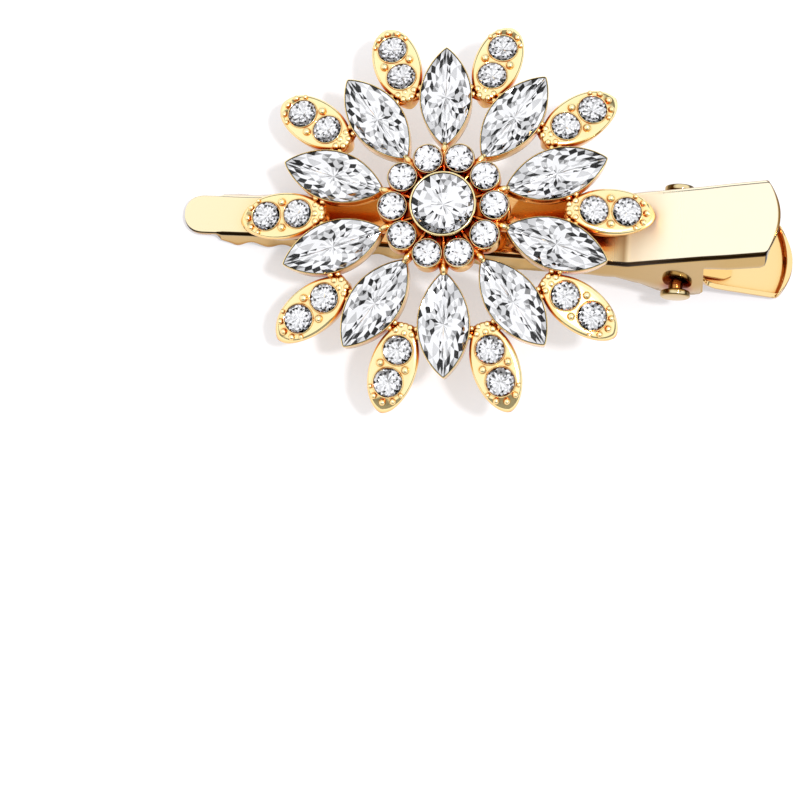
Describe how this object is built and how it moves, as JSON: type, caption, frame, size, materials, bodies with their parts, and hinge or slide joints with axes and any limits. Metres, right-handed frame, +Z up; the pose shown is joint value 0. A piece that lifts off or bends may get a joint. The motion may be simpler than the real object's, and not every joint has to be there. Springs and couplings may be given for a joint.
{
  "type": "rhinestone hair clip",
  "caption": "Spring hair clip: two hinged sheet-metal levers, the upper jaw with wavy side flanges, carrying a domed cast flower set with round and navette crystals.",
  "frame": {"origin": "centre of the bounding box in X and Y, at the plane the clip rests on: the lower jaw tip and the lower tail end touch Z = 0", "axes": "+X along the clip from the jaw tip to the tail, +Y across the clip, +Z up, out of the flower's face"},
  "size_m": [0.0802, 0.0516, 0.0243],
  "materials": {
    "lever_gold": "polished light-gold plating",
    "pin_gold": "polished light-gold plating",
    "spring_gold": "bright, darker gold",
    "casting_gold": "polished gold plating, bright edges",
    "bond": "cured adhesive",
    "crystal": "clear faceted crystal with a foiled back"
  },
  "bodies": {
    "upper_half": {"top_lever": "lever_gold", "hinge_pin": "pin_gold", "flower_casting": "casting_gold", "bond_pad": "bond", "flat_spring": "spring_gold", "centre_stone": "crystal", "ring_stone_01": "crystal", "ring_stone_02": "crystal", "ring_stone_03": "crystal", "ring_stone_04": "crystal", "ring_stone_05": "crystal", "ring_stone_06": "crystal", "ring_stone_07": "crystal", "ring_stone_08": "crystal", "ring_stone_09": "crystal", "ring_stone_10": "crystal", "navette_stone_01": "crystal", "navette_stone_02": "crystal", "navette_stone_03": "crystal", "navette_stone_04": "crystal", "navette_stone_05": "crystal", "navette_stone_06": "crystal", "navette_stone_07": "crystal", "navette_stone_08": "crystal", "navette_stone_09": "crystal", "navette_stone_10": "crystal", "leaf_inner_stone_01": "crystal", "leaf_inner_stone_02": "crystal", "leaf_inner_stone_03": "crystal", "leaf_inner_stone_04": "crystal", "leaf_inner_stone_05": "crystal", "leaf_inner_stone_06": "crystal", "leaf_inner_stone_07": "crystal", "leaf_inner_stone_08": "crystal", "leaf_inner_stone_09": "crystal", "leaf_inner_stone_10": "crystal", "leaf_outer_stone_01": "crystal", "leaf_outer_stone_02": "crystal", "leaf_outer_stone_03": "crystal", "leaf_outer_stone_04": "crystal", "leaf_outer_stone_05": "crystal", "leaf_outer_stone_06": "crystal", "leaf_outer_stone_07": "crystal", "leaf_outer_stone_08": "crystal", "leaf_outer_stone_09": "crystal", "leaf_outer_stone_10": "crystal"},
    "lower_half": {"lower_lever": "lever_gold"}
  },
  "joints": [
    {"name": "jaw_hinge", "type": "hinge", "parent": "upper_half", "child": "lower_half", "pos_m": [0.02358, 0, 0.00728], "axis": [0, -1, 0], "range_deg": [0, 35], "stiffness_Nm_per_rad": 0.1, "springref_deg": -34.38, "deforming": ["flat_spring"]}
  ]
}
